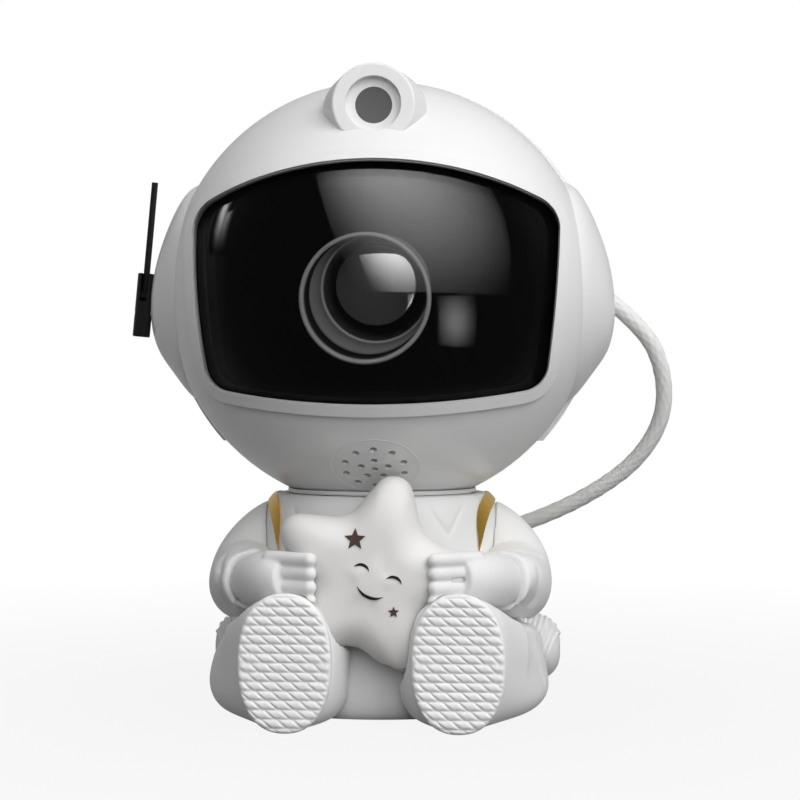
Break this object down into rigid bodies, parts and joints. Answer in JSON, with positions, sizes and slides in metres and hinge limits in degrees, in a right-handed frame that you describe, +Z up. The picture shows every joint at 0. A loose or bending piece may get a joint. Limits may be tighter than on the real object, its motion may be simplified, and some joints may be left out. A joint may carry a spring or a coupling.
{
  "type": "star and nebula projector",
  "caption": "Seated astronaut figure whose round helmet holds a dome lens nebula projector behind a dark visor and a laser star lens on the forehead",
  "frame": {"origin": "centre of the rubber pad's underside, on the neck's swivel axis", "axes": "+Z up, the astronaut faces -Y, +X towards its left hand, on the viewer's right"},
  "size_m": [0.1885, 0.1463, 0.2142],
  "materials": {
    "white_shell": "high-gloss white lacquered plastic",
    "visor": "dark tinted glossy acrylic",
    "gasket": "satin dark grey",
    "antenna_black": "semi-gloss black",
    "inner_black": "matt black",
    "hood": "satin charcoal",
    "lens": "clear polished",
    "laser_lens": "dark grey diffusing window",
    "gold": "plated gold",
    "hose": "white braided sleeve",
    "star_white": "satin white",
    "ink_black": "printed black ink",
    "ink_brown": "printed brown ink",
    "rubber": "matt foam rubber",
    "steel": "zinc plated",
    "magnet": "nickel plated",
    "cast_ballast": "raw",
    "board_green": "solder mask",
    "sink_aluminium": "extruded",
    "clear_disc": "clear moulded acrylic",
    "gear_white": "natural acetal",
    "button_grey": "satin grey"
  },
  "bodies": {
    "stand": {"torso": "white_shell", "hips": "white_shell", "base_plate": "white_shell", "ballast_weight": "cast_ballast", "rubber_pad": "rubber", "base_screws": "steel", "leg_left": "white_shell", "leg_right": "white_shell", "sole_left": "white_shell", "sole_right": "white_shell", "star": "star_white", "star_smile": "ink_black", "star_motifs": "ink_brown", "sleeve_left": "white_shell", "sleeve_right": "white_shell", "glove_left": "white_shell", "glove_right": "white_shell", "strap_left": "gold", "strap_right": "gold", "backpack": "white_shell", "button_board": "board_green", "usb_socket": "steel", "pack_roll": "white_shell", "neck_bush": "gear_white", "hose": "hose"},
    "neck": {"neck_cup": "white_shell", "neck_magnet": "magnet", "neck_screw": "steel"},
    "head": {"helmet_front_shell": "white_shell", "helmet_rear_shell": "white_shell", "ear_cover_left": "white_shell", "ear_cover_right": "white_shell", "visor_glass": "visor", "visor_gasket": "gasket", "bulkhead": "inner_black", "bulkhead_screws": "steel", "lens_hood": "hood", "dome_lens": "lens", "module_plate": "inner_black", "spin_motor": "steel", "led_board": "board_green", "condenser_lens": "lens", "heat_sink": "sink_aluminium", "main_board": "board_green", "laser_window": "laser_lens", "laser_module": "steel", "speaker": "inner_black", "steel_cap": "steel"},
    "antenna_base": {"antenna_barrel": "antenna_black", "antenna_pin": "steel"},
    "antenna_whip": {"antenna_rod": "antenna_black"},
    "ripple": {"ripple_disc": "clear_disc"},
    "pinion": {"motor_pinion": "gear_white"},
    "nebula_key": {"button_nebula": "button_grey"},
    "power_key": {"button_power": "button_grey"},
    "stars_key": {"button_stars": "button_grey"}
  },
  "joints": [
    {"name": "head_swivel", "type": "hinge", "parent": "stand", "child": "neck", "pos_m": [0, 0, 0.1395], "axis": [0, 0, 1], "range_deg": [-45, 45], "deforming": ["hose"]},
    {"name": "head_nod", "type": "hinge", "parent": "neck", "child": "head", "pos_m": [0, 0, 0.1395], "axis": [1, 0, 0], "range_deg": [-20, 12]},
    {"name": "antenna_swivel", "type": "hinge", "parent": "head", "child": "antenna_base", "pos_m": [-0.08355, 0.003, 0.134], "axis": [1, 0, 0], "range_deg": [-90, 90]},
    {"name": "antenna_fold", "type": "hinge", "parent": "antenna_base", "child": "antenna_whip", "pos_m": [-0.08301, 0.003, 0.13998], "axis": [0.9959, 0, -0.0906], "range_deg": [0, 85]},
    {"name": "ripple_spin", "type": "hinge", "parent": "head", "child": "ripple", "pos_m": [0, -0.012, 0.1241], "axis": [0, -1, 0], "continuous": true},
    {"name": "pinion_spin", "type": "hinge", "parent": "head", "child": "pinion", "pos_m": [0.03347, -0.012, 0.11058], "axis": [0, -1, 0], "continuous": true},
    {"name": "nebula_press", "type": "slide", "parent": "stand", "child": "nebula_key", "axis": [0, -1, 0], "range_m": [0, 0.0008], "stiffness_N_per_m": 600},
    {"name": "power_press", "type": "slide", "parent": "stand", "child": "power_key", "axis": [0, -1, 0], "range_m": [0, 0.0008], "stiffness_N_per_m": 600},
    {"name": "stars_press", "type": "slide", "parent": "stand", "child": "stars_key", "axis": [0, -1, 0], "range_m": [0, 0.0008], "stiffness_N_per_m": 600}
  ],
  "couplings": [
    {"joint": "pinion_spin", "follows": "ripple_spin", "ratio": -4}
  ]
}
